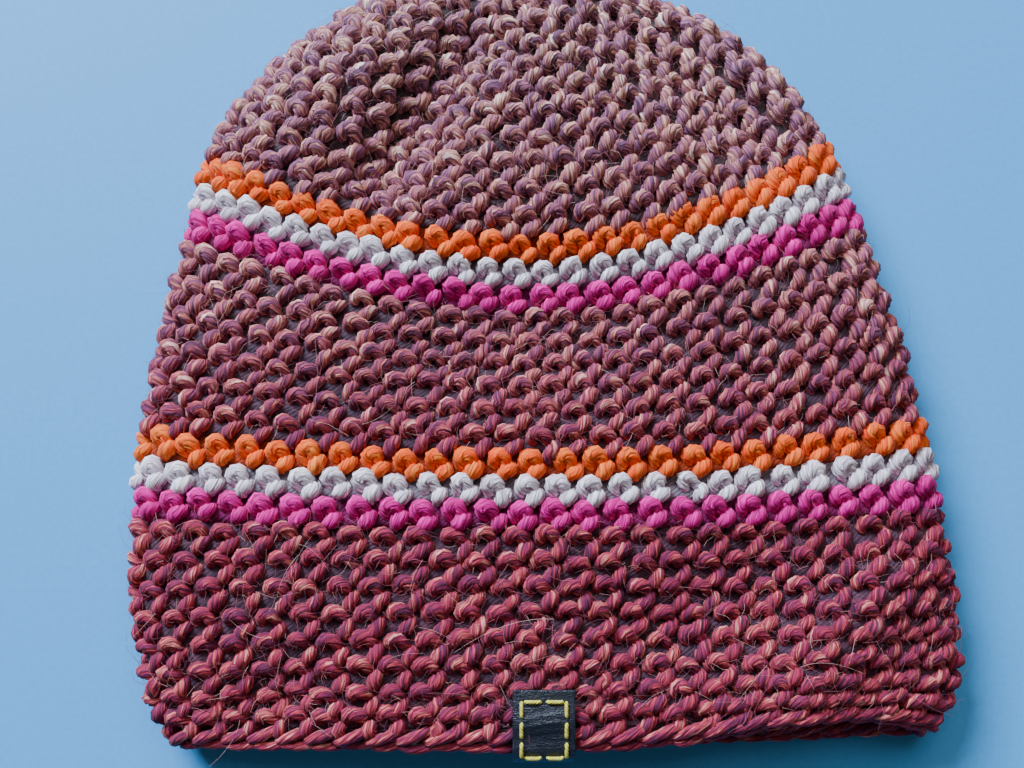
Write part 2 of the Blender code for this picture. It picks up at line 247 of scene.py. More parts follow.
def yarn_lengths(passing, rounds, around, steps, radius, twist, phase, run, lobe=0.87):
    """Tubes of plied yarn through passing points, one for each stitch.

    passing holds (stitch, point, 4) in mm. Gives the tubes' points and the yarn's run at each ring.
    """
    weights = smooth_through(steps, passing.shape[1])
    path = np.einsum("mk,nkc->nmc", weights, passing)
    heights, stretched = round_heights(rounds, around)
    at_round = rounds[:, None] - path[:, :, 1] / 1000 / heights[:, None]
    at_round = np.maximum(at_round, INNERMOST)
    ring_here = np.interp(rounds * ROWS_PER_ROUND, np.arange(len(ring_lengths)), ring_lengths)
    at_round_share = around[:, None] + path[:, :, 0] / 1000 / ring_here[:, None]
    from_label = np.abs((at_round_share - PRESSED_AT + 0.5) % 1 - 0.5)
    pressed = PRESSED_BY * (at_round > PRESSED_FROM) * (from_label < PRESSED_WIDTH)
    middle, out = on_wall(at_round, at_round_share, path[:, :, 2] / 1000 - pressed)
    # Where the rounds fan out, the slack yarn lies a little fuller
    thickness = radius[:, None] * path[:, :, 3] * (stretched**0.9)[:, None]
    middle[:, :, 2] = np.maximum(middle[:, :, 2], thickness * 0.55 + TABLE_CLEARANCE)
    along = np.gradient(middle, axis=1)
    step = np.linalg.norm(along, axis=2)
    along /= step[:, :, None]
    side = np.cross(along, out)
    side /= np.linalg.norm(side, axis=2)[:, :, None]
    up = np.cross(side, along)
    between = (step[:, 1:] + step[:, :-1]) / 2
    length = np.concatenate([np.zeros((len(step), 1)), np.cumsum(between, axis=1)], axis=1)
    turn = phase[:, None] + twist * length
    sides = 2 * PLIES
    angle = np.arange(sides) * 2 * math.pi / sides
    lobes = np.where(np.arange(sides) % 2, 1.0, lobe)
    spin = turn[:, :, None] + angle
    uneven = 1 + np.random.default_rng(len(rounds)).normal(0, UNEVEN, (*middle.shape[:2], sides))
    reach = thickness[:, :, None] * lobes * uneven
    points = (
        middle[:, :, None]
        + side[:, :, None] * (np.cos(spin) * reach)[..., None]
        + up[:, :, None] * (np.sin(spin) * reach)[..., None]
    )
    points[..., 2] = np.maximum(points[..., 2], TABLE_CLEARANCE)
    return points, run[:, None] + length * 1000


PATCH_GAP = 0.04  # the bare edge of each tube's patch in OFBake, as a share of its cell
PATCH = 1 - 2 * PATCH_GAP


def yarn_mesh(name, batches, plies=PLIES):
    """One mesh of many tubes, with their plies and run in a map named yarn, and one patch each in OFBake."""
    places, corners, plies_at, patches = [], [], [], []
    tubes = sum(len(points) for points, _ in batches)
    across = math.ceil(math.sqrt(tubes * 1.3))
    down = math.ceil(tubes / across)
    start, tube = 0, 0
    for points, run in batches:
        count, steps, sides = points.shape[:3]
        index = start + np.arange(count * steps * sides).reshape(count, steps, sides)
        start += index.size
        places.append(points.reshape(-1, 3))
        following = np.roll(index, -1, axis=2)
        quads = [index[:, :-1], following[:, :-1], following[:, 1:], index[:, 1:]]
        corners.append(np.stack(quads, axis=-1).reshape(-1, 4))
        ply = np.arange(sides) * plies / sides
        shape = (count, steps - 1, sides)
        ply_low = np.broadcast_to(ply, shape)
        ply_high = np.broadcast_to(ply + plies / sides, shape)
        run_low = np.broadcast_to(run[:, :-1, None], shape)
        run_high = np.broadcast_to(run[:, 1:, None], shape)
        pairs = ((ply_low, run_low), (ply_high, run_low), (ply_high, run_high), (ply_low, run_high))
        plies_at.append(np.stack([np.stack(pair, axis=-1) for pair in pairs], axis=-2).reshape(-1, 2))
        number = tube + np.arange(count)
        tube += count
        cell_x = np.broadcast_to((number % across)[:, None, None], shape)
        cell_y = np.broadcast_to((number // across)[:, None, None], shape)
        ring_at = np.broadcast_to(np.arange(steps - 1)[None, :, None], shape)
        left = (cell_x + PATCH_GAP + PATCH * ply_low / plies) / across
        right = (cell_x + PATCH_GAP + PATCH * ply_high / plies) / across
        low = (cell_y + PATCH_GAP + PATCH * ring_at / (steps - 1)) / down
        high = (cell_y + PATCH_GAP + PATCH * (ring_at + 1) / (steps - 1)) / down
        pairs = ((left, low), (right, low), (right, high), (left, high))
        patches.append(np.stack([np.stack(pair, axis=-1) for pair in pairs], axis=-2).reshape(-1, 2))
    maps = {"OFBake": patches, "yarn": plies_at}
    return quad_mesh(name, np.concatenate(places), np.concatenate(corners), maps)


def quad_mesh(name, places, corners, maps):
    """A smooth mesh of four-cornered faces, with its maps."""
    mesh = bpy.data.meshes.new(name)
    mesh.vertices.add(len(places))
    mesh.vertices.foreach_set("co", places.astype(np.float32).ravel())
    mesh.loops.add(corners.size)
    mesh.loops.foreach_set("vertex_index", corners.astype(np.int32).ravel())
    mesh.polygons.add(len(corners))
    mesh.polygons.foreach_set("loop_start", np.arange(0, corners.size, 4, dtype=np.int32))
    mesh.polygons.foreach_set("loop_total", np.full(len(corners), 4, dtype=np.int32))
    mesh.update(calc_edges=True)
    for map_name, parts in maps.items():
        layer = mesh.uv_layers.new(name=map_name)
        layer.data.foreach_set("uv", np.concatenate(parts).astype(np.float32).ravel())
    mesh.validate()
    mesh.shade_smooth()
    return mesh


def dress(name, mesh, materials, replaced):
    """Puts a mesh in the scene as the looks of one of the frame's pieces."""
    for material in materials:
        mesh.materials.append(material)
    piece = bpy.data.objects.new(name, mesh)
    bpy.context.scene.collection.objects.link(piece)
    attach(piece, "root")
    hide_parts(replaced)


def linear(code):
    """sRGB hex to linear."""
    parts = [int(code[i : i + 2], 16) / 255 for i in (1, 3, 5)]
    return (*[c / 12.92 if c < 0.04045 else ((c + 0.055) / 1.055) ** 2.4 for c in parts], 1)


def node(tree, kind, settings=None, **inputs):
    """Adds a node, sets its properties, shades and values, and links what is given as a socket.

    An input is given by its name, or by its number as i0, i1 and so on.
    """
    made = tree.nodes.new(kind)
    for key, value in (settings or {}).items():
        if key == "shades":
            elements = made.color_ramp.elements
            elements.remove(elements[-1])
            elements[0].position, elements[0].color = value[0][0], linear(value[0][1])
            for position, shade in value[1:]:
                elements.new(position).color = linear(shade)
        else:
            setattr(made, key, value)
    for key, value in inputs.items():
        numbered = key[0] == "i" and key[1:].isdigit()
        target = made.inputs[int(key[1:])] if numbered else made.inputs[key.replace("_", " ")]
        if isinstance(value, bpy.types.NodeSocket):
            tree.links.new(value, target)
        else:
            target.default_value = value
    return made


# The yarn's grain, in mm. A hair of wool is too fine to show, so the finest streaks are drawn 0.3 mm apart
PLY_ACROSS = 1.65
DYE_ALONG, STRAND_ALONG, STRAND_ACROSS, STREAK_ALONG, STREAK_ACROSS = 22.0, 3.3, 0.55, 2.4, 0.33
PLY_APART = 7.31  # how far apart two plies read the dye's noise, so that they share none of it
STREAK_DARK, STREAK_PALE = 0.44, 0.42  # how much a streak darkens or pales its ply
FADE_FROM, FADE_TO = -0.045, 0.085  # the heather's colour changes along the hat between these Y: partly its dye, partly painted light, a haze that pales the crown
# Names that many of the nodes share
MATHS = "ShaderNodeMath"
TIMES, PLUS, MINUS = {"operation": "MULTIPLY"}, {"operation": "ADD"}, {"operation": "SUBTRACT"}


def plied_yarn(name, shades, crown_shades=None, painted_groove_shade=0.45, contrast=1.0):
    """Wool spun in six plies: matt, faintly aglow at its edges from loose fibres, with painted shade
    darkening it where plies meet.

    Each ply keeps its main shade of the dye for a few centimetres, with finer strands of other shades in it.
    The loft keeps gloss low, at half of what wool's index of 1.55 gives a smooth surface.
    """
    material = bpy.data.materials.new(name)
    material.use_nodes = True
    tree = material.node_tree
    tree.nodes.clear()
    noise = {"noise_dimensions": "2D"}
    yarn = node(tree, "ShaderNodeUVMap", {"uv_map": "yarn"})
    parts = node(tree, "ShaderNodeSeparateXYZ", i0=yarn.outputs[0])
    plies, run = parts.outputs[0], parts.outputs[1]
    ply = node(tree, MATHS, {"operation": "FLOOR"}, i0=plies)
    within = node(tree, MATHS, {"operation": "FRACT"}, i0=plies)
    ply_far = node(tree, MATHS, TIMES, i0=ply.outputs[0], i1=PLY_APART)
    run_slow = node(tree, MATHS, TIMES, i0=run, i1=1 / DYE_ALONG)
    dye_at = node(tree, "ShaderNodeCombineXYZ", i0=ply_far.outputs[0], i1=run_slow.outputs[0], i2=0.0)
    dye = node(tree, "ShaderNodeTexNoise", noise, Vector=dye_at.outputs[0], Scale=1.0, Detail=1.0)
    strand_x = node(tree, MATHS, TIMES, i0=plies, i1=PLY_ACROSS / STRAND_ACROSS)
    strand_y = node(tree, MATHS, TIMES, i0=run, i1=1 / STRAND_ALONG)
    strand_at = node(tree, "ShaderNodeCombineXYZ", i0=strand_x.outputs[0], i1=strand_y.outputs[0], i2=0.0)
    strand = node(tree, "ShaderNodeTexNoise", noise, Vector=strand_at.outputs[0], Scale=1.0, Detail=1.0)
    strand_part = node(tree, MATHS, TIMES, i0=strand.outputs[0], i1=1.1)
    blend = node(tree, MATHS, PLUS, i0=dye.outputs[0], i1=strand_part.outputs[0])
    wide = node(tree, "ShaderNodeMapRange", Value=blend.outputs[0], From_Min=0.70, From_Max=1.42)
    colour = node(tree, "ShaderNodeValToRGB", {"shades": shades}, i0=wide.outputs[0]).outputs[0]
    # Towards the crown the colour blends into the crown's shades: partly the dye's change, partly painted
    # light that pales the crown
    if crown_shades:
        crown_dye_and_haze = node(tree, "ShaderNodeValToRGB", {"shades": crown_shades}, i0=wide.outputs[0]).outputs[0]
        place = node(tree, "ShaderNodeTexCoord")
        height = node(tree, "ShaderNodeSeparateXYZ", i0=place.outputs["Object"])
        along = height.outputs[1]
        share = node(tree, "ShaderNodeMapRange", Value=along, From_Min=FADE_FROM, From_Max=FADE_TO)
        mixed = node(tree, "ShaderNodeMix", {"data_type": "RGBA"}, i0=share.outputs[0], i6=colour, i7=crown_dye_and_haze)
        colour = mixed.outputs[2]
    centred = node(tree, MATHS, MINUS, i0=within.outputs[0], i1=0.5)
    off_centre = node(tree, MATHS, {"operation": "ABSOLUTE"}, i0=centred.outputs[0])
    groove = node(
        tree, "ShaderNodeMapRange", {"interpolation_type": "SMOOTHSTEP"},
        Value=off_centre.outputs[0], From_Min=0.22, From_Max=0.5,
    )
    fibre_x = node(tree, MATHS, TIMES, i0=plies, i1=PLY_ACROSS / STREAK_ACROSS)
    fibre_y = node(tree, MATHS, TIMES, i0=run, i1=1 / STREAK_ALONG)
    fibre_at = node(tree, "ShaderNodeCombineXYZ", i0=fibre_x.outputs[0], i1=fibre_y.outputs[0], i2=0.0)
    fibre = node(tree, "ShaderNodeTexNoise", noise, Vector=fibre_at.outputs[0], Scale=1.0, Detail=2.0)
    streak = node(
        tree, "ShaderNodeMapRange", Value=fibre.outputs[0], From_Min=0.3, From_Max=0.7,
        To_Min=1 - STREAK_DARK * contrast, To_Max=1 + STREAK_PALE * contrast,
    )
    # Painted shade: the colour darkens towards the grooves between the plies, where real shade would fall
    shade = node(tree, "ShaderNodeMapRange", Value=groove.outputs[0], To_Min=1.0, To_Max=1 - painted_groove_shade)
    both = node(tree, MATHS, TIMES, i0=streak.outputs[0], i1=shade.outputs[0])
    scaled = node(tree, "ShaderNodeVectorMath", {"operation": "SCALE"}, i0=colour, Scale=both.outputs[0])
    # No wool gives back more light than falls on it
    most = (0.94, 0.94, 0.94)
    dyed = node(tree, "ShaderNodeVectorMath", {"operation": "MINIMUM"}, i0=scaled.outputs[0], i1=most)
    ply_round = node(tree, MATHS, TIMES, i0=groove.outputs[0], i1=-0.6)
    relief = node(tree, MATHS, PLUS, i0=ply_round.outputs[0], i1=fibre.outputs[0])
    bump = node(tree, "ShaderNodeBump", Strength=0.7, Distance=0.00035, Height=relief.outputs[0])
    shader = node(
        tree, "ShaderNodeBsdfPrincipled", Base_Color=dyed.outputs[0], Normal=bump.outputs[0],
        Roughness=0.82, Sheen_Weight=0.12, Sheen_Roughness=0.5, IOR=1.55,
    )
    shader.inputs["Sheen Tint"].default_value = linear("#E8A8A8")
    shader.inputs["Specular IOR Level"].default_value = 0.25
    node(tree, "ShaderNodeOutputMaterial", i0=shader.outputs[0])
    return material


HEATHER_SHADES = (
    (0.0, "#501A3C"), (0.2, "#701E48"), (0.38, "#8E2246"), (0.52, "#A02845"),
    (0.66, "#AE3848"), (0.82, "#C25854"), (1.0, "#D68A82"),
)
# The crown's shades are paler and greyer: partly the dye, partly painted light, a haze over the crown
CROWN_SHADES = (
    (0.0, "#5E3E58"), (0.2, "#845272"), (0.38, "#9E6680"), (0.52, "#AC6E70"),
    (0.66, "#C08470"), (0.82, "#D4A492"), (1.0, "#ECD0C8"),
)
heather_wool = plied_yarn("plied_heather_wool", HEATHER_SHADES, CROWN_SHADES, painted_groove_shade=0.48, contrast=1.1)


# Behind the stitches lie the top loops of each round, the same wool in painted shade: its colours are drawn
# darker and greyer than the yarn's own
SHADE_SHADES = ((0.0, "#362436"), (0.5, "#4A3044"), (1.0, "#5C3C4A"))
SHADE_CROWN = ((0.0, "#34282E"), (0.5, "#463A40"), (1.0, "#58484C"))
shaded_heather = plied_yarn(
    "plied_heather_wool_in_shade", SHADE_SHADES, SHADE_CROWN, painted_groove_shade=0.35, contrast=0.7,
)
GROUND_OUT, GROUND_IN, CORD_RISE, INNER_BUMP = -0.0010, -0.0020, 0.0013, 0.0010
GROUND_PER_STITCH, CORD_STEP, GROUND_CLEARANCE = 4, 2.3, 0.0004
BELOW_EDGE = 0.3  # a round's own colour begins a little below the loops that it is worked into


def ground(name, start, end, material, replaced):
    """The fabric behind the stitches: a cord of top loops at each round's edge, bumps on its inner face."""
    columns = GROUND_PER_STITCH * BODY_STITCHES
    share = np.arange(columns) / columns
    low, high = (min(edge + BELOW_EDGE, LAST_ROUND) if edge else 0.05 for edge in (start, end))
    outer_rounds = np.linspace(low, high, 4 * (end - start) + 1)
    inner_rounds = np.linspace(low, high, 2 * (end - start) + 1)[::-1]
    heights = [GROUND_OUT + CORD_RISE * math.cos(math.pi * r) ** 2 for r in outer_rounds]
    heights += [GROUND_IN - INNER_BUMP * math.sin(math.pi * r) ** 2 for r in inner_rounds]
    all_rounds = np.concatenate([outer_rounds, inner_rounds])
    layers = np.array(
        [on_wall(np.full(columns, r), share, np.full(columns, h))[0] for r, h in zip(all_rounds, heights)]
    )
    layers[..., 2] = np.maximum(layers[..., 2], GROUND_CLEARANCE)
    index = np.arange(layers.size // 3).reshape(layers.shape[:2])
    rows = len(index) if start else len(index) - 1
    beyond = np.roll(index, -1, axis=0)
    quads = [index, beyond, np.roll(beyond, -1, axis=1), np.roll(index, -1, axis=1)]
    corners = np.stack([part[:rows] for part in quads], axis=-1).reshape(-1, 4)
    # The plies slant across each cord, a round being one turn of the yarn
    along = np.arange(columns) * CORD_STEP
    next_rounds = np.roll(all_rounds, -1)
    ply = lambda r, run: r[:rows, None] * PLIES + run[None] * TWIST / 1000 * PLIES / (2 * math.pi)
    run_at = lambda run: np.broadcast_to(run[None], (rows, columns))
    pairs = [
        (all_rounds, along), (next_rounds, along),
        (next_rounds, along + CORD_STEP), (all_rounds, along + CORD_STEP),
    ]
    yarn = np.stack([np.stack([ply(r, run), run_at(run)], axis=-1) for r, run in pairs], axis=-2)
    mesh = quad_mesh(name, layers.reshape(-1, 3), corners, {"yarn": [yarn.reshape(-1, 2)]})
    dress(name, mesh, [material], replaced)


# Hand tension: how far each stitch sits off its place (across, up, out, in mm), swells, and leans
HAND_OFF, HAND_SWELL, HAND_LEAN = (0.36, 0.34, 0.20), 0.06, 0.14
# Yarn used by one stitch, in mm, and how far into it the knot begins
STITCH_RUN, KNOT_LATER = 31.0, 17.0
# Rings in an arch and in a knot, in front and on the back layer, and how far their points wander, in mm
ARCH_RINGS, KNOT_RINGS, ARCH_WANDER, KNOT_WANDER = (14, 9), (10, 6), 0.16, 0.18
BACK_LAYER_TOP = 0.005


def crocheted(
    name, middles, material, replaced, seed, arch=ARCH, knot=KNOT, fullness=1.0, tuck=0.0,
):
    """Rounds of single crochet. fullness swells the yarn, and tuck keeps an arch's legs out longer."""
    chance = np.random.default_rng(seed)
    rounds, around = [], []
    for middle in middles:
        total = stitches_in(middle)
        rounds.append(np.full(total, middle))
        around.append((np.arange(total) - SPIRAL_LEAN * (middle + 0.5)) / total)
    rounds, around = (np.concatenate(parts) for parts in (rounds, around))
    total = len(rounds)
    offset = chance.normal(0, 1, (total, 1, 3)) * HAND_OFF
    swell = 1 + chance.normal(0, HAND_SWELL, total)
    lean = chance.normal(0, HAND_LEAN, total)
    # Stitches of the back layer lie pressed on the table and need fewer rings
    beneath = on_wall(rounds, around, np.zeros(total))[0][:, 2] < BACK_LAYER_TOP
    batches = []
    run = np.cumsum(np.full(total, STITCH_RUN)) + chance.uniform(0, 4, total)
    lengths = ((arch, ARCH_RINGS, ARCH_WANDER, 0.0), (knot, KNOT_RINGS, KNOT_WANDER, KNOT_LATER))
    for shape, steps, wander, later in lengths:
        passing = np.repeat(shape[None], total, axis=0)
        passing[:, :, :3] += offset + chance.normal(0, wander, (total, len(shape), 3))
        passing[:, :, 0] += lean[:, None] * passing[:, :, 1]
        if shape is arch:
            legs = np.clip(-passing[:, :, 1] - 1.0, 0, 4) / 4
            passing[:, :, 2] += tuck * legs
        radius = YARN_RADIUS * fullness * swell
        phase = chance.uniform(0, 6.28, total)
        for chosen, rings_in in zip((~beneath, beneath), steps):
            if chosen.any():
                batches.append(
                    yarn_lengths(
                        passing[chosen], rounds[chosen], around[chosen], rings_in, radius[chosen],
                        TWIST, phase[chosen], (run + later)[chosen],
                    )
                )
    dress(name, yarn_mesh(name, batches), [material], replaced)


crown_middles = (np.arange(CROWN_WORKED) + 0.5) * CROWN_ROUNDS / CROWN_WORKED
crocheted("crown_stitches", crown_middles, heather_wool, "crown", seed=11, fullness=1.07)
ground("crown_ground", 0, CROWN_ROUNDS, shaded_heather, "crown")

# The two sets of striped rounds: one round each of orange, cream and magenta wool, joined in at the back.
# This yarn is one even shade and fuller than the heather: its arches stand taller and its stitches close up.

ORANGE_SHADES = ((0.0, "#FF460A"), (0.5, "#FF6016"), (1.0, "#FF8030"))
CREAM_SHADES = ((0.0, "#C0B0BC"), (0.5, "#DED2DE"), (1.0, "#F2EAF2"))
MAGENTA_SHADES = ((0.0, "#AC0068"), (0.5, "#D20084"), (1.0, "#EC0C9C"))
STRIPES = (
    ("orange", plied_yarn("plied_orange_wool", ORANGE_SHADES, painted_groove_shade=0.30, contrast=1.1)),
    ("cream", plied_yarn("plied_undyed_wool", CREAM_SHADES, painted_groove_shade=0.30, contrast=1.1)),
    ("magenta", plied_yarn("plied_magenta_wool", MAGENTA_SHADES, painted_groove_shade=0.30, contrast=1.1)),
)
# The same wools in painted shade: darker copies of their colours, for the fabric that lies in the shade of
# their stitches
STRIPE_GROUNDS = {
    "orange": ((0.0, "#6E1E04"), (1.0, "#A83C0C")),
    "cream": ((0.0, "#5E5660"), (1.0, "#8C848E")),
    "magenta": ((0.0, "#4E0234"), (1.0, "#880A5C")),
}
# The arch and the knot of these stitches, in the columns of ARCH and KNOT
FULL_ARCH = np.array([
    (-0.95, -4.0, -2.2, 0.85),
    (-1.30, -2.7, -0.8, 1.14),
    (-1.56, -1.2, 0.55, 1.34),
    (-1.38, 0.10, 1.25, 1.44),
    (-0.05, 0.65, 1.55, 1.46),
    (1.30, 0.25, 1.40, 1.44),
    (1.64, -0.9, 0.75, 1.34),
    (1.62, -2.4, -0.6, 1.14),
    (1.70, -3.9, -2.0, 0.85),
])
FULL_KNOT = np.array([
    (0.40, -6.0, -2.0, 0.90),
    (1.05, -5.2, 0.1, 1.22),
    (1.85, -4.40, 1.35, 1.46),
    (2.70, -3.65, 1.50, 1.46),
    (3.50, -2.90, 0.5, 1.24),
    (4.10, -2.20, -1.7, 0.90),
])
STRIPE_FULLNESS, STRIPE_TUCK = 0.98, 0.5
stripe_grounds = {
    dye: plied_yarn(f"plied_{dye}_wool_in_shade", shades, painted_groove_shade=0.25, contrast=0.5)
    for dye, shades in STRIPE_GROUNDS.items()
}
# Each set begins with its orange round, the 13th or the 22nd from the crown's middle
for place, first in (("upper", 13), ("lower", 22)):
    for step, (dye, material) in enumerate(STRIPES):
        number = first + step
        named = f"{place}_{dye}_round"
        crocheted(
            f"{named}_stitches", [number - 0.5], material, named, 20 + number,
            FULL_ARCH, FULL_KNOT, STRIPE_FULLNESS, STRIPE_TUCK,
        )
        ground(f"{named}_ground", number - 1, number, stripe_grounds[dye], named)

# The middle band and the brim band: plain rounds of the heather wool, six between the stripes and eight
# below them, worked on with the yarn of the crown.

for band, start, end, seed in (("middle_band", 15, 21, 51), ("brim_band", 24, 32, 61)):
    crocheted(f"{band}_stitches", np.arange(start, end) + 0.5, heather_wool, band, seed)
    ground(f"{band}_ground", start, end, shaded_heather, band)

# The edging: a round of slip stitches that closes the hem like a flat braid. Each shows a long slanting
# length of yarn on the face, its other half below that round the hem's edge, and a third length inside.

# Points of each strand, in the columns of ARCH: across, up and out in mm, then thickness
FACE_STRAND = np.array([
    (-6.2, -2.2, -0.8, 0.60),
    (-4.4, -1.9, 1.3, 0.90),
    (-1.6, -0.9, 2.15, 1.00),
    (1.6, 0.4, 2.15, 1.00),
    (4.2, 1.4, 1.1, 0.90),
    (6.0, 1.9, -0.8, 0.60),
])
UNDER_STRAND = np.array([
    (-5.8, -2.7, -1.0, 0.45),
    (-3.8, -3.5, 0.5, 0.90),
    (-1.0, -3.9, 0.6, 1.00),
    (1.8, -3.7, 0.4, 1.00),
    (4.2, -3.2, 0.0, 0.90),
    (5.6, -2.4, -1.2, 0.45),
])
INNER_STRAND = np.array([
    (-6.0, 1.6, -1.0, 0.60),
    (-4.2, 1.0, -2.2, 0.90),
    (-1.4, 0.0, -2.7, 1.00),
    (1.6, -1.2, -2.6, 1.00),
    (4.2, -2.2, -1.8, 0.90),
    (6.0, -2.8, -0.8, 0.60),
])
FACE_RADIUS, UNDER_RADIUS, INNER_RADIUS = 0.00155, 0.00135, 0.00145
# Its middle in rounds, its twist in radians a metre, its rings, and the yarn used by one stitch in mm
EDGING_AT, EDGING_TWIST, EDGING_RINGS, EDGING_RUN = LAST_ROUND - 0.45, 260.0, 14, 27.0
EDGING_OFF, EDGING_WANDER = 0.2, 0.1  # mm
chance = np.random.default_rng(71)
edging_at = (np.arange(BODY_STITCHES) - SPIRAL_LEAN * LAST_ROUND) / BODY_STITCHES
edging_batches = []
EDGING = ((FACE_STRAND, FACE_RADIUS), (UNDER_STRAND, UNDER_RADIUS), (INNER_STRAND, INNER_RADIUS))
for strand, radius in EDGING:
    passing = np.repeat(strand[None], BODY_STITCHES, axis=0)
    off_place = chance.normal(0, EDGING_OFF, (BODY_STITCHES, 1, 3))
    passing[:, :, :3] += off_place + chance.normal(0, EDGING_WANDER, (BODY_STITCHES, len(strand), 3))
    edging_batches.append(
        yarn_lengths(
            passing, np.full(BODY_STITCHES, EDGING_AT), edging_at, EDGING_RINGS,
            np.full(BODY_STITCHES, radius), EDGING_TWIST,
            chance.uniform(0, 6.28, BODY_STITCHES), np.arange(BODY_STITCHES) * EDGING_RUN,
        )
    )
edging_mesh = yarn_mesh("edging_strands", edging_batches)
dress("edging_strands", edging_mesh, [heather_wool], "edging")
ground("edging_ground", LAST_ROUND - 1, LAST_ROUND, shaded_heather, "edging")

# The wrong side of the brim, which shows in the mouth: each stitch leaves one bar of the heather yarn
# lying across the inside of the wall.

BAR = np.array([
    (-5.0, -0.6, -1.6, 0.75),
    (-3.0, 0.4, -2.5, 0.95),
    (-0.6, 1.0, -2.9, 1.05),
    (1.8, 0.7, -2.8, 1.02),
    (3.8, -0.2, -2.2, 0.90),
    (5.0, -0.9, -1.4, 0.72),
])
BAR_RADIUS, BAR_TWIST, BAR_RINGS, BAR_RUN = 0.00135, 420.0, 6, 23.0
BAR_ASIDE = 0.3  # of a stitch, from the stitch in front
BAR_OFF, BAR_WANDER = 0.22, 0.1  # mm
chance = np.random.default_rng(81)
brim_rounds = np.arange(25, 33) - 0.5
bar_rounds = np.repeat(brim_rounds, BODY_STITCHES)
bar_number = np.tile(np.arange(BODY_STITCHES), len(brim_rounds))
bar_at = (bar_number + BAR_ASIDE - SPIRAL_LEAN * (bar_rounds + 0.5)) / BODY_STITCHES
bars = len(bar_rounds)
passing = np.repeat(BAR[None], bars, axis=0)
off_place = chance.normal(0, BAR_OFF, (bars, 1, 3))
passing[:, :, :3] += off_place + chance.normal(0, BAR_WANDER, (bars, len(BAR), 3))
bar_batch = yarn_lengths(
    passing, bar_rounds, bar_at, BAR_RINGS, np.full(bars, BAR_RADIUS), BAR_TWIST,
    chance.uniform(0, 6.28, bars), np.arange(bars) * BAR_RUN,
)
bar_mesh = yarn_mesh("brim_wrong_side_bars", [bar_batch])
dress("brim_wrong_side_bars", bar_mesh, [heather_wool], "brim_band")

# Loose fibres: single wool hairs that stand off the heather yarn, and a few long pale ones among them.
# They are drawn 0.1 mm thick, coarser than real ones, so that they show.

# A single wool hair is slightly shiny, and looks paler than the yarn it comes from
HAIR_SHADES = {"plum": "#8A4458", "rose": "#B86A78", "fawn": "#CC948C", "pale": "#DCB8AC"}
hair_materials = []
for shade, code in HAIR_SHADES.items():
    material = bpy.data.materials.new(f"loose_{shade}_wool_hair")
    material.use_nodes = True
    shader = material.node_tree.nodes["Principled BSDF"]
    shader.inputs["Base Color"].default_value = linear(code)
    shader.inputs["Roughness"].default_value = 0.6
    hair_materials.append(material)
HAIR_RADIUS, HAIR_SIDES, HAIR_FOOT = 0.00005, 3, 0.0024
HAIR_SHORTEST, HAIR_SPREAD = 0.0012, 0.0021
LONG_RISE = 0.45  # long hairs lie lower than short ones


def loose_fibres(name, first, last, amount, replaced, seed, steps=3, longer=0.0):
    """Hairs on these rounds. longer, in metres, makes them the long pale ones."""
    chance = np.random.default_rng(seed)
    all_rows = np.arange(0, LAST_ROUND * ROWS_PER_ROUND)
    weights = np.interp(all_rows, np.arange(len(ring_lengths)), ring_lengths)
    weights = weights[(first - 1) * ROWS_PER_ROUND : last * ROWS_PER_ROUND]
    rows = chance.choice(len(weights), amount, p=weights / weights.sum()) / ROWS_PER_ROUND + first - 1
    around = chance.beta(1.6, 1.6, amount) - 0.5
    foot, out = on_wall(rows, around, np.full(amount, HAIR_FOOT))
    aim = chance.normal(0, 1, (amount, 3))
    aim -= out * (aim * out).sum(axis=1)[:, None]
    aim /= np.linalg.norm(aim, axis=1)[:, None]
    bend = np.cross(aim, out) * chance.uniform(-1, 1, amount)[:, None]
    length = (HAIR_SHORTEST + chance.gamma(1.1, HAIR_SPREAD, amount))[:, None] + longer
    rise = chance.uniform(0.1, 0.75, amount)[:, None] * (LONG_RISE if longer else 1.0)
    t = np.linspace(0, 1, steps)[None, :, None]
    lifted = out[:, None] * (1.6 * t - 1.2 * t**2) * rise[:, None]
    path = foot[:, None] + (aim[:, None] * t + bend[:, None] * t**2 * 0.8 + lifted) * length[:, None]
    along = np.gradient(path, axis=1)
    along /= np.linalg.norm(along, axis=2)[..., None]
    side = np.cross(along, out[:, None])
    side /= np.linalg.norm(side, axis=2)[..., None]
    up = np.cross(side, along)
    angle = np.arange(HAIR_SIDES) * 2 * math.pi / HAIR_SIDES
    thin = (HAIR_RADIUS * (1 - 0.6 * t))[..., None]
    about = side[:, :, None] * np.cos(angle)[:, None] + up[:, :, None] * np.sin(angle)[:, None]
    points = path[:, :, None] + about * thin
    points[..., 2] = np.maximum(points[..., 2], TABLE_CLEARANCE)
    index = np.arange(points.size // 3).reshape(points.shape[:3])
    following = np.roll(index, -1, axis=2)
    corners = np.stack([index[:, :-1], following[:, :-1], following[:, 1:], index[:, 1:]], axis=-1)
    mesh = quad_mesh(name, points.reshape(-1, 3), corners.reshape(-1, 4), {})
    kind = np.minimum(chance.gamma(1.3, 0.75, amount).astype(int), len(HAIR_SHADES) - 1)
    kind[:] = len(HAIR_SHADES) - 1 if longer else kind
    dress(name, mesh, hair_materials, replaced)
    mesh.polygons.foreach_set("material_index", np.repeat(kind, corners[0].size // 4).astype(np.int32))


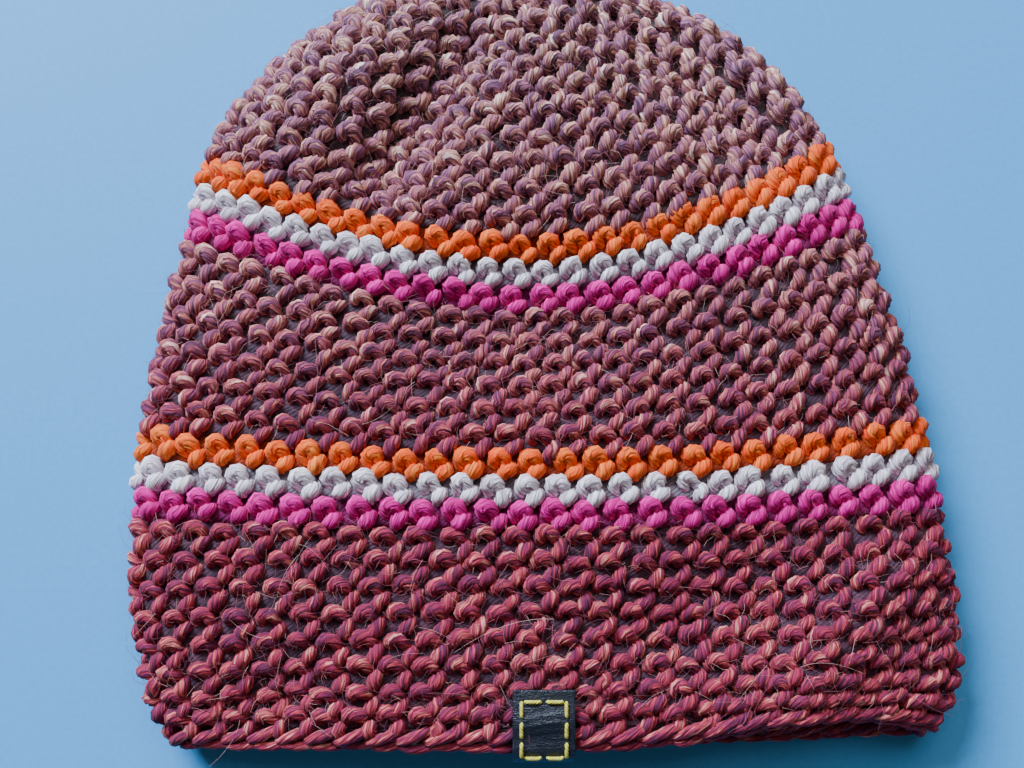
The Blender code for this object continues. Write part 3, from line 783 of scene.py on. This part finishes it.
# Each band's first and last round, how many short hairs it has and how many long ones
HAIRY = (("crown", 1, 12, 4600, 26), ("middle_band", 16, 21, 2600, 16), ("brim_band", 25, 32, 3800, 26))
for seed, (band, first, last, short, _) in enumerate(HAIRY, 91):
    loose_fibres(f"{band}_fibres", first, last, short, band, seed)
for seed, (band, first, last, _, long) in enumerate(HAIRY, 94):
    loose_fibres(f"{band}_long_fibres", first, last, long, band, seed, steps=9, longer=0.008)

# The label: a strip of thin black leather folded round the hem, its edges cut clean and eased, sewn through
# near its edge with a running stitch of waxed yellow thread.

LABEL_WIDTH, LABEL_FLAP, LABEL_THICKNESS, LABEL_EASE = 0.0168, 0.0150, 0.0011, 0.00035
# How far the leather stands off the wall's middle, drops below the hem, and swells between its seams
LABEL_STANDS, LABEL_DROP, LABEL_SWELL = 0.00405, 0.0042, 0.0005


def front_line(rounds):
    """The point of the front layer's middle above the label, so many rounds from the crown's middle."""
    row = wall_points[int(round(rounds * ROWS_PER_ROUND))]
    front = np.concatenate([row[-COLUMNS // 4 :], row[: COLUMNS // 4]])
    return np.array([np.interp(-ORIGIN[0], front[:, 0], front[:, axis]) for axis in (1, 2)])


hem = front_line(LAST_ROUND)
flap_up = front_line(LAST_ROUND - 1) - hem
flap_up /= np.linalg.norm(flap_up)
flap_out = np.array([-flap_up[1], flap_up[0]]) * (1 if flap_up[0] > 0 else -1)
FLAP_STEPS, FOLD_STEPS = 44, 18


def label_path(lift):
    """The leather from the side, at a height over its middle: down the front, round the hem, up inside."""
    reach = LABEL_STANDS + lift
    shares = np.linspace(1, 0, FLAP_STEPS, endpoint=False)
    swell = LABEL_SWELL * np.sin(math.pi * np.clip(shares * 1.15 - 0.05, 0, 1)) ** 2
    front = [hem + flap_up * LABEL_FLAP * s + flap_out * (reach + b) for s, b in zip(shares, swell)]
    angles = np.linspace(0, math.pi, FOLD_STEPS + 1)
    drop = LABEL_DROP + lift
    fold = [hem + flap_out * reach * math.cos(a) - flap_up * drop * math.sin(a) for a in angles]
    back = zip(shares[::-1], swell[::-1])
    inside = [hem + flap_up * LABEL_FLAP * s - flap_out * (reach + b) for s, b in back]
    return np.array(front + fold + inside)


side, half = LABEL_WIDTH / 2, LABEL_THICKNESS / 2
flat_side, flat_half = side - LABEL_EASE, half - LABEL_EASE
# The strip's section: four eased corners, and a row of points across each face for the crinkles
section = []
for start, x_way, h_way in ((0, 1, 1), (90, -1, 1), (180, -1, -1), (270, 1, -1)):
    for degrees in (0, 30, 60, 90):
        turn = math.radians(start + degrees)
        x = x_way * flat_side + LABEL_EASE * math.cos(turn)
        section.append((x, h_way * flat_half + LABEL_EASE * math.sin(turn)))
    if start in (0, 180):
        section += [(x, h_way * half) for x in np.linspace(1, -1, 26)[1:-1] * flat_side * h_way]
paths = {round(h, 6): label_path(h) for _, h in section}
layers = np.array([[(x - ORIGIN[0], *point) for point in paths[round(h, 6)]] for x, h in section])
layers = layers.transpose(1, 0, 2)
# It swells and crinkles in its middle, where the fold has pushed it up, and sags a little elsewhere
SAG, PUSHED_UP, PUSHED_AT, PUSHED_WIDTH = 0.00010, 0.00035, 0.0082, 0.0034
CRINKLE, CRINKLE_APART = 0.00009, 0.0021
lines = np.arange(layers.shape[0])[:, None]
across = (layers[:, :, 0] + ORIGIN[0]) / side
down_flap = lines * LABEL_FLAP / FLAP_STEPS
layers[:, :, 2] += SAG * np.sin(lines * 0.32 + 1.5 * across) * (1 - across**2)
pushed_up = np.exp(-(((down_flap - PUSHED_AT) / PUSHED_WIDTH) ** 2)) * (1 - across**2)
crinkle = np.sin(2 * math.pi * down_flap / CRINKLE_APART + 1.6 * np.sin(2.3 * across + 0.6) + 1.1 * across)
layers[:, :, 2] += pushed_up * (PUSHED_UP + CRINKLE * crinkle)
index = np.arange(layers.size // 3).reshape(layers.shape[:2])
following = np.roll(index, -1, axis=1)
corners = np.stack([index[:-1], index[1:], following[1:], following[:-1]], axis=-1).reshape(-1, 4)
rim = index.shape[1]
caps = []
for ring in (index[0], index[-1][::-1]):
    half_ring = rim // 2
    for i in range(half_ring - 1):
        caps.append((ring[i], ring[i + 1], ring[(rim - 2 - i) % rim], ring[(rim - 1 - i) % rim]))
corners = np.concatenate([corners, np.array(caps)])
label_mesh = quad_mesh("folded_leather_label", layers.reshape(-1, 3), corners, {})

# Black calf leather with a plain finish: a soft gloss, broken up by fine pores and by creases that run
# across the strip. Pores are 0.4 mm apart, drawn coarser than real ones so that they show, and creases 0.8.
PORE, CREASE, WORN = 0.38, 2.4, 3.8
leather = bpy.data.materials.new("black_smooth_leather")
leather.use_nodes = True
tree = leather.node_tree
shader = tree.nodes["Principled BSDF"]
place = node(tree, "ShaderNodeTexCoord")
stretched = node(tree, "ShaderNodeMapping", Vector=place.outputs["Object"], Scale=(0.7, 3.2, 3.2))
pores = node(tree, "ShaderNodeTexVoronoi", Vector=place.outputs["Object"], Scale=1000 / PORE)
creases = node(
    tree, "ShaderNodeTexNoise",
    Vector=stretched.outputs[0], Scale=1000 / CREASE, Detail=3.0, Distortion=1.2,
)
worn = node(tree, "ShaderNodeTexNoise", Vector=place.outputs["Object"], Scale=1000 / WORN, Detail=2.0)
rough = node(
    tree, "ShaderNodeMapRange",
    Value=worn.outputs[0], From_Min=0.3, From_Max=0.7, To_Min=0.30, To_Max=0.46,
)
crease_part = node(tree, MATHS, TIMES, i0=creases.outputs[0], i1=1.6)
relief = node(tree, MATHS, PLUS, i0=crease_part.outputs[0], i1=pores.outputs["Distance"])
bump = node(tree, "ShaderNodeBump", Strength=0.6, Distance=0.00028, Height=relief.outputs[0])
tree.links.new(rough.outputs[0], shader.inputs["Roughness"])
tree.links.new(bump.outputs[0], shader.inputs["Normal"])
shader.inputs["Base Color"].default_value = linear("#101826")
dress("folded_leather_label", label_mesh, [leather], "label")

# The running stitch: three dashes down each side and two across each end, twisted lengths of thread that
# dip into their holes. It is waxed three-ply cotton, pale yellow, with its plies' slant plain to see.
THREAD_RADIUS, THREAD_TWIST, STITCH, SPACE = 0.00055, 2600.0, 0.0031, 0.0014
THREAD_RINGS, THREAD_SIDES, THREAD_RUN, HOLE_DEPTH = 14, 12, 7.0, 0.0011
YELLOW_SHADES = ((0.0, "#C9BE3C"), (0.5, "#E2D850"), (1.0, "#F2EA78"))
yellow_thread = plied_yarn("waxed_yellow_cotton_thread", YELLOW_SHADES, painted_groove_shade=0.5, contrast=0.4)
front_face = label_path(half)
run_of_face = np.concatenate([[0], np.cumsum(np.linalg.norm(np.diff(front_face, axis=0), axis=1))])


def on_label(x, down, height):
    """A point on the leather and its outward direction, for x across and down from the front flap's end."""
    place = [np.interp(down, run_of_face, front_face[:, axis]) for axis in (0, 1)]
    ahead = [np.interp(down + 1e-4, run_of_face, front_face[:, axis]) - place[axis] for axis in (0, 1)]
    out = np.array([-ahead[1], ahead[0]]) * -1
    out /= np.linalg.norm(out)
    point = np.array([x - ORIGIN[0], place[0] + out[0] * height, place[1] + out[1] * height])
    return point, np.array([0, *out])


# A rectangle of dashes on the front flap and one on the flap inside
SEAM_X, SEAM_TOP, SEAM_BOTTOM, SEAM_CORNER = 0.0060, 0.0030, 0.0178, 0.0008
far_end = run_of_face[-1]
lines = []
for top, bottom in ((SEAM_TOP, SEAM_BOTTOM), (far_end - SEAM_TOP, far_end - SEAM_BOTTOM)):
    for x in (-SEAM_X, SEAM_X):
        lines.append(((x, top), (x, bottom)))
    for down in (top, bottom):
        lines.append(((-SEAM_X + SEAM_CORNER, down), (SEAM_X - SEAM_CORNER, down)))
thread_points, thread_run = [], []
for (x1, d1), (x2, d2) in lines:
    length = math.hypot(x2 - x1, d2 - d1)
    dashes = max(2, round(length / (STITCH + SPACE)))
    dash = (length - SPACE * (dashes - 1)) / dashes
    for number in range(dashes):
        begin = number * (dash + SPACE)
        path, outs = [], []
        for t in np.linspace(0, 1, THREAD_RINGS):
            at = (begin + dash * t) / length
            lift = THREAD_RADIUS * 0.75 - HOLE_DEPTH * (max(0, abs(2 * t - 1) - 0.72) / 0.28) ** 1.5
            point, out = on_label(x1 + (x2 - x1) * at, d1 + (d2 - d1) * at, lift)
            path.append(point)
            outs.append(out)
        path, outs = np.array(path), np.array(outs)
        along = np.gradient(path, axis=0)
        along /= np.linalg.norm(along, axis=1)[:, None]
        beside = np.cross(along, outs)
        beside /= np.linalg.norm(beside, axis=1)[:, None]
        over = np.cross(beside, along)
        turned = np.linspace(0, dash * THREAD_TWIST, THREAD_RINGS)[:, None]
        spin = np.arange(THREAD_SIDES) * 2 * math.pi / THREAD_SIDES + turned
        reach = THREAD_RADIUS * np.array((0.80, 0.97, 1.0, 0.97) * 3)
        aside = beside[:, None] * (np.cos(spin) * reach)[..., None]
        thread_points.append(path[:, None] + aside + over[:, None] * (np.sin(spin) * reach)[..., None])
        thread_run.append(np.linspace(0, dash * 1000, THREAD_RINGS) + number * THREAD_RUN)
thread_mesh = yarn_mesh("label_running_stitch", [(np.array(thread_points), np.array(thread_run))], plies=3)
dress("label_running_stitch", thread_mesh, [yellow_thread], "label")

# The floor, the light and the camera: a pale blue table, a bright window up to the left behind the
# crown, a weak lamp high behind it and soft light from all round.

# Matt laminate: an even pale blue with little shine, its print a barely visible 1.7 mm grain
GRAIN = 1.7
TABLE_SHADES = ((0.35, "#469ADA"), (0.65, "#4A9EDE"))
table_top = bpy.data.materials.new("pale_blue_laminate")
table_top.use_nodes = True
tree = table_top.node_tree
shader = tree.nodes["Principled BSDF"]
place = node(tree, "ShaderNodeTexCoord")
grain = node(tree, "ShaderNodeTexNoise", Vector=place.outputs["Object"], Scale=1000 / GRAIN, Detail=3.0)
tint = node(tree, "ShaderNodeValToRGB", {"shades": TABLE_SHADES}, i0=grain.outputs[0])
tree.links.new(tint.outputs[0], shader.inputs["Base Color"])
shader.inputs["Roughness"].default_value = 0.62
shader.inputs["Specular IOR Level"].default_value = 0.22
TABLE = 6.0
table_mesh = bpy.data.meshes.new("table")
table_corners = [(-TABLE, -TABLE, 0), (TABLE, -TABLE, 0), (TABLE, TABLE, 0), (-TABLE, TABLE, 0)]
table_mesh.from_pydata(table_corners, [], [(0, 1, 2, 3)])
table_mesh.materials.append(table_top)
table = bpy.data.objects.new("table", table_mesh)
bpy.context.scene.collection.objects.link(table)


def lamp(name, place, size, power, colour):
    """A round soft lamp that faces the hat."""
    light = bpy.data.lights.new(name, "AREA")
    light.shape, light.size, light.energy, light.color = "DISK", size, power, linear(colour)[:3]
    made = bpy.data.objects.new(name, light)
    made.location = place
    made.rotation_euler = (Vector((0, 0, 0.01)) - Vector(place)).to_track_quat("-Z", "Y").to_euler()
    bpy.context.scene.collection.objects.link(made)


lamp("window", (-1.45, 2.00, 1.75), 1.50, 285.0, "#D8EAFF")
lamp("room", (0.35, 1.50, 2.30), 2.0, 42.0, "#E8E4E0")
world = bpy.data.worlds.new("soft_room")
bpy.context.scene.world = world
world.use_nodes = True
sky = world.node_tree.nodes["Background"]
sky.inputs[0].default_value = linear("#E4DDD8")
sky.inputs[1].default_value = 0.17

# The photo looks down on the hat from just in front of straight above
CAMERA_ELEVATION, FIELD, DISTANCE, TARGET = 78.0, 55.0, 0.298, (-0.0085, -0.0125, 0.012)
camera_data = bpy.data.cameras.new("camera")
camera_data.sensor_width = 36
camera_data.lens = 18 / math.tan(math.radians(FIELD / 2))
camera = bpy.data.objects.new("camera", camera_data)
elevation = math.radians(CAMERA_ELEVATION)
back = Vector((0, -math.cos(elevation), math.sin(elevation)))
right = Vector((1, 0, 0))
up = back.cross(right)
turned = Matrix((right, up, back)).transposed().to_4x4()
camera.matrix_world = Matrix.Translation(Vector(TARGET) + back * DISTANCE) @ turned
camera_data.clip_start = 0.01
bpy.context.scene.collection.objects.link(camera)
bpy.context.scene.camera = camera
